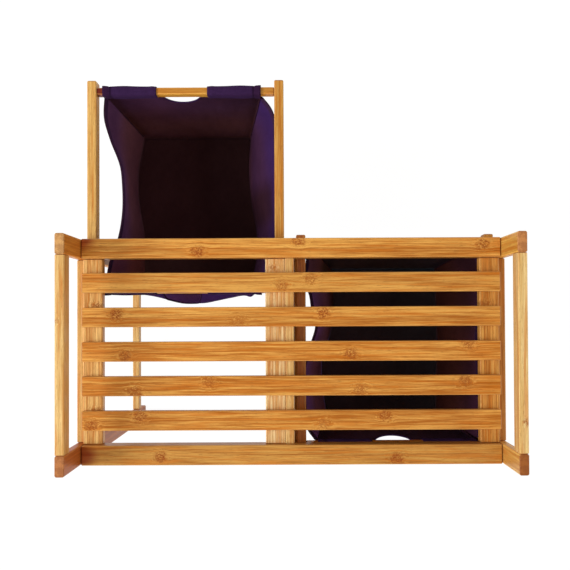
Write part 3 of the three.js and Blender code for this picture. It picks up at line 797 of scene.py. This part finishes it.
def sew_sack(bag):
    """The sack's outer face: rings shrunk about the floor's middle, a quarter round where floor
    meets wall, then rings up the wall. Quads inside a hand hole go, and the points on its edge are
    moved out onto the circle. Solidify gives the cloth its thickness."""
    turns = np.arange(outline_count)
    edge = bag.point(turns, 0.0)
    centre = np.array([bag.middle_x, bag.middle_y, bag.floor])
    rings = []
    for share in np.linspace(0.02, 1, floor_steps):
        ring = centre + (edge - centre) * share * (1 - floor_round / 0.12)
        ring[:, 2] = bag.floor + 0.0006 * np.sin(21 * ring[:, 0]) * np.sin(17 * ring[:, 1])
        rings.append(ring)
    inner = rings[-1]
    for angle in np.linspace(0, np.pi / 2, 5)[1:-1]:
        ring = inner + (edge - inner) * np.sin(angle)
        ring[:, 2] = bag.floor + floor_round * (1 - np.cos(angle))
        rings.append(ring)
    rings += [bag.point(turns, level) for level in np.linspace(floor_round / bag.tall, 1, wall_steps)]
    rows, points = len(rings), np.concatenate(rings)
    faces = grid_faces(rows, outline_count)
    keep = np.ones(len(faces), bool)
    row, column = np.divmod(np.arange(len(points)), outline_count)
    away = points[:, [0, 2]] - (bag.hole_x, bag.rim)
    distance = np.linalg.norm(away, axis=1)
    for first in (wall_starts[3], wall_starts[1]):
        on_wall = (column >= first) & (column <= first + end_steps) & (row > floor_steps + 3)
        cut = (distance[faces].mean(1) < hole_radius) & on_wall[faces].all(1)
        keep &= ~cut
        on_edge = np.intersect1d(faces[cut].ravel(), faces[~cut].ravel())
        on_edge = on_edge[row[on_edge] < rows - 1]
        moved = away[on_edge] * (hole_radius / distance[on_edge])[:, None]
        points[on_edge, 0], points[on_edge, 2] = bag.hole_x + moved[:, 0], bag.rim + moved[:, 1]
    fan = [(len(points), (i + 1) % outline_count, i) for i in range(outline_count)]
    x, y, z = points.reshape(rows, outline_count, 3).transpose(2, 0, 1)
    on_floor = np.arange(rows)[:, None] < floor_steps
    along = np.where(on_floor | (np.abs(outline[:, 2]) <= 0.7), x, y)
    up = np.where(on_floor, y, z)
    sack = cloth_piece(
        bag, "sack", np.vstack([points, centre]), faces[keep].tolist() + fan, bag_cloth,
        (np.append(along, centre[0]), np.append(up, centre[1])),
    )
    sack.data.materials.append(bag_linings[bag.side])
    solid = sack.modifiers.new("cloth thickness", "SOLIDIFY")
    solid.thickness, solid.offset = canvas_thick, -1
    solid.material_offset, solid.material_offset_rim = 1, 1
    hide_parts(f"{bag.side}_bin_bag")


def run_along(line):
    """How far each point of a line is from its start, along the line."""
    return np.append(0, np.cumsum(np.linalg.norm(np.diff(line, axis=0), axis=1)))


def sew_band(bag, word, turns, levels, across, section, out, material):
    """A flat band sewn along a line of outline places and levels, with its middle a distance out
    from the wall. Its section, (width, thickness), is a stadium laid across the line, in metres
    turned into outline steps and level shares."""
    width, thick = section
    bend = np.linspace(np.pi / 2, 3 * np.pi / 2, 5)
    end = np.stack([thick / 2 * (1 + np.cos(bend)) - width / 2, thick / 2 * np.sin(bend)], -1)
    profile = np.concatenate([end, -end])
    pitch = 2 * bag.half_x / end_steps
    count = len(turns)
    across_turn, across_level = (np.broadcast_to(part, count)[:, None] for part in across)
    turn = turns[:, None] + profile[:, 0] * across_turn / pitch
    level = np.broadcast_to(levels, count)[:, None] + profile[:, 0] * across_level / bag.tall
    points = bag.proud(turn, level, profile[:, 1] + out)
    ring = np.arange(len(profile))
    caps = [ring[::-1].tolist(), ((count - 1) * len(ring) + ring).tolist()]
    faces = grid_faces(count, len(ring)).tolist() + caps
    cloth_piece(bag, word, points, faces, material, (run_along(points[:, 0])[:, None], profile[:, 0]))


def sew_stitches(bag, rows):
    """Rows of short stitches, each a block 2.8 mm long that lies on the wall. A row is given as
    outline places, levels, how far out it lies, and 1 or -1 for the cloth's outer or inner face."""
    length, pitch, half_wide, thick = 0.0028, 0.0042, 0.0003, 0.0004
    blocks, marks = [], []
    for turns, level, out, face in rows:
        levels = np.full(len(turns), level)
        run = run_along(bag.proud(turns, levels, out))
        starts = np.arange(0.001, run[-1] - length, pitch)
        spots = [
            (np.interp(at, run, turns), np.interp(at, run, levels)) for at in (starts, starts + length)
        ]
        (base, far_base), (top, far_top) = (
            [bag.proud(turn, level, out + face * rise) for turn, level in spots] for rise in (0, thick)
        )
        aside = np.cross(far_base - base, top - base)
        aside *= half_wide / np.linalg.norm(aside, axis=1, keepdims=True)
        blocks.append(np.stack([
            base - aside, base + aside, far_base + aside, far_base - aside,
            top - aside, top + aside, far_top + aside, far_top - aside,
        ], 1))
        marks.append(np.repeat(starts, 8))
    points = np.concatenate(blocks).reshape(-1, 3)
    block = np.array([(3, 2, 1, 0), (4, 5, 6, 7), (0, 1, 5, 4), (2, 3, 7, 6), (1, 2, 6, 5), (3, 0, 4, 7)])
    faces = (np.arange(len(points) // 8)[:, None, None] * 8 + block).reshape(-1, 4).tolist()
    cloth_piece(bag, "stitches", points, faces, thread_cloth, (np.concatenate(marks), 0), False)


def make_sleeve(bag, end, inner_x, outer_x):
    """A sleeve round one stretch of a bar: a loop of rounded-rectangle section carried along the
    bar. It puffs a little between its ends, flares at the outer end and is creased where the hem is
    turned in. The wall of the tube is one closed section, out along the outside and back inside."""
    low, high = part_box(f"{bag.side}_bin_bar_{end}")
    centre, half = (low + high) / 2, (high - low) / 2
    slack, squareness, stations = 0.0003, 0.38, 34
    angle = np.linspace(0, 2 * np.pi, 40, endpoint=False)
    ring_y = np.sign(np.cos(angle)) * np.abs(np.cos(angle)) ** squareness
    ring_z = np.sign(np.sin(angle)) * np.abs(np.sin(angle)) ** squareness
    share = np.concatenate([np.linspace(0, 1, stations), np.linspace(1, 0, stations)])
    outside = np.repeat([1.0, 0.0], stations)
    length = abs(outer_x - inner_x)
    from_end = (1 - share) * length
    flare = 0.0009 * np.exp(-((from_end / 0.008) ** 2))
    crease = -0.0005 * np.exp(-(((from_end - 0.012) / 0.0012) ** 2)) * outside
    hem = 0.0004 * (from_end < 0.011) * outside
    inner_hem = 0.0005 * np.exp(-(((share * length - 0.007) / 0.004) ** 2)) * outside
    puff = (0.0006 + 0.0003 * np.sin(9 * share + 2)) * np.sin(np.pi * share)
    grow = (canvas_thick * outside + flare + crease + hem + inner_hem + puff + 0.0001)[:, None]
    wave = 1 + 0.10 * np.sin(2 * angle + 4 * share[:, None])
    out = grow * np.where(outside[:, None] > 0, wave, 1)
    y = centre.y + (half.y + slack + out) * ring_y
    z = centre.z + (half.z + slack + out) * ring_z
    x = np.broadcast_to((inner_x + (outer_x - inner_x) * share)[:, None], y.shape)
    faces = grid_faces(2 * stations, len(angle), True)
    word, order = ("right", -1) if outer_x > inner_x else ("left", 1)
    cloth = (from_end[:, None], angle * 0.009)
    points = np.stack([x, y, z], -1)
    cloth_piece(bag, f"sleeve_{end}_{word}", points, faces[:, ::order].tolist(), sleeve_cloth, cloth)


hem, binding, seam, tape = (hem_wide, 0.0034), (0.0032, 0.0030), (0.0024, 0.0016), (0.0070, 0.0012)
mid_cloth, tape_out, seam_out, thread_out = -canvas_thick / 2, -canvas_thick - 0.0004, 0.0003, 0.0009
hem_stitches_down, sleeve_stitches_down, stitch_margin = hem_wide - 0.0018, (0.0045, 0.0075), 0.002
for bag in bags:
    sew_sack(bag)
    for end in ENDS:
        for way in (-1, 1):
            make_sleeve(bag, end, bag.middle_x + way * handle_half_gap, bag.middle_x + way * bag.half_x)
    for wall, word in ((0, "right"), (2, "left")):
        turns = wall_starts[wall] + np.linspace(-1, side_steps + 1, 90)
        level = 1 - hem_wide / 2 / bag.tall
        sew_band(bag, "hem_" + word, turns, level, (0, 1), hem, mid_cloth, rim_cloth)
    flat_half = bag.half_x - corner_radius
    angle = np.linspace(0, np.pi, 48)
    for wall, end, way in ((3, "front", 1), (1, "back", -1)):
        middle = wall_starts[wall] + end_steps / 2 + way * bag.hole_shift / (2 * bag.half_x) * end_steps
        turns = middle - hole_radius * np.cos(angle) * end_steps / (2 * flat_half)
        levels = 1 - hole_radius * np.sin(angle) / bag.tall
        across = -np.cos(angle), -np.sin(angle)
        sew_band(bag, "binding_" + end, turns, levels, across, binding, mid_cloth, hem_cloth)
    levels = np.linspace(0.05, 0.99, 40)
    for corner in range(4):
        turns = np.full(40, wall_starts[corner] - corner_steps / 2)
        sew_band(bag, f"seam_{corner + 1}", turns, levels, (1, 0), seam, seam_out, hem_cloth)
        sew_band(bag, f"seam_tape_{corner + 1}", turns, levels, (1, 0), tape, tape_out, tape_cloth)
    stitch_rows = []
    for wall in (0, 2):
        turns = wall_starts[wall] + np.linspace(0, side_steps, 120)
        level = 1 - hem_stitches_down / bag.tall
        stitch_rows += [(turns, level, thread_out, 1), (turns, level, -canvas_thick - thread_out, -1)]
    for wall in (1, 3):
        for way in (-1, 1):
            run = np.linspace(handle_half_gap + stitch_margin, flat_half - stitch_margin, 60)
            turns = wall_starts[wall] + (np.sort(way * run) / flat_half + 1) / 2 * end_steps
            stitch_rows += [(turns, 1 - down / bag.tall, 0.0, 1) for down in sleeve_stitches_down]
    sew_stitches(bag, stitch_rows)

# Studio: a white floor that runs out of view, a pale sky that is dimmer straight overhead, and a
# big soft box at the photo's left. For the camera the floor and the air are mostly plain white, so
# that the floor keeps only a faint shadow.
bench_y = (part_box("seat_rail_front")[0].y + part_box("seat_rail_back")[1].y) / 2


def make_floor():
    """A square of white floor just under the glides, mixed for camera rays with plain white light."""
    material, tree, shader = new_material("studio_floor")
    feed(shader, {"Base Color": (0.86, 0.86, 0.86), "Roughness": 0.9, "Specular IOR Level": 0.0})
    paint = Field(tree.nodes["Principled BSDF"].outputs[0])
    glow = place_node(tree, "ShaderNodeEmission", {"Color": (1, 1, 1), "Strength": 1.06})[0]
    rays = place_node(tree, "ShaderNodeLightPath")
    share = calculate("MAXIMUM", rays["Is Camera Ray"] * 0.90, rays["Is Glossy Ray"] * 0.5)
    mixed = place_node(tree, "ShaderNodeMixShader", {0: share, 1: paint, 2: glow})[0]
    feed(tree.nodes["Material Output"].inputs, {"Surface": mixed})
    half, level = 30.0, -0.0005
    mesh = bpy.data.meshes.new("studio_floor")
    points = [(-half, -half, level), (half, -half, level), (half, half, level), (-half, half, level)]
    mesh.from_pydata(points, [], [(0, 1, 2, 3)])
    floor = bpy.data.objects.new("studio_floor", mesh)
    mesh.materials.append(material)
    bpy.context.scene.collection.objects.link(floor)


def make_air():
    """The world: even grey light, and white where the camera or a reflection sees it."""
    world = bpy.data.worlds.new("studio_air")
    world.use_nodes = True
    tree = world.node_tree
    rays = place_node(tree, "ShaderNodeLightPath")
    seen = calculate("MAXIMUM", rays["Is Camera Ray"], rays["Is Glossy Ray"])
    seen = calculate("MAXIMUM", seen, rays["Is Transmission Ray"])
    x, y, z = split(place_node(tree, "ShaderNodeTexCoord")["Generated"])
    level = ramp(z, 0.70, 0.93, 0.54, 0.30) * ramp(x, -1.0, 1.0, 0.86, 1.12) * ramp(y, 0.1, 0.9, 1.0, 2.3)
    strength = place_node(tree, "ShaderNodeMapRange", {"Value": seen, "To Min": level, "To Max": 1.0})
    colour = blend(seen, (1.0, 0.96, 0.90), (1, 1, 1))
    feed(tree.nodes["Background"].inputs, {"Strength": strength["Result"], "Color": colour})
    bpy.context.scene.world = world


def add_lamp(name, place, power, size, colour):
    """A square soft lamp that faces the middle of the seat."""
    light = bpy.data.lights.new(name, "AREA")
    light.energy, light.color, light.size = power, colour, size
    lamp = bpy.data.objects.new(name, light)
    lamp.location = place
    way = Vector((0, bench_y, 0.45)) - Vector(place)
    lamp.rotation_euler = way.to_track_quat("-Z", "Y").to_euler()
    bpy.context.scene.collection.objects.link(lamp)


def make_camera():
    """The photo's view, nearly straight down, with the bench's front at the top of the picture."""
    tip, roll = math.radians(0.708), -0.0044
    back = Vector((0, math.sin(tip), math.cos(tip)))
    right = Vector((-1, 0, 0))
    turn = Matrix((right, back.cross(right), back)).transposed() @ Matrix.Rotation(roll, 3, "Z")
    data = bpy.data.cameras.new("camera")
    data.lens, data.sensor_width = 39.33, 36.0
    data.shift_x, data.shift_y = -0.00965, 0.0391
    camera = bpy.data.objects.new("camera", data)
    camera.matrix_world = Matrix.Translation((0.001, bench_y - 0.060, 1.504)) @ turn.to_4x4()
    bpy.context.scene.collection.objects.link(camera)
    bpy.context.scene.camera = camera


make_floor()
make_air()
add_lamp("soft_box", (2.6, bench_y + 0.18, 2.1), 67.0, 1.3, (0.97, 1.0, 1.06))
add_lamp("fill_box", (-2.6, bench_y + 0.1, 1.5), 22.0, 2.0, (1.0, 0.95, 0.87))
make_camera()
bpy.context.scene.view_settings.view_transform = "Standard"
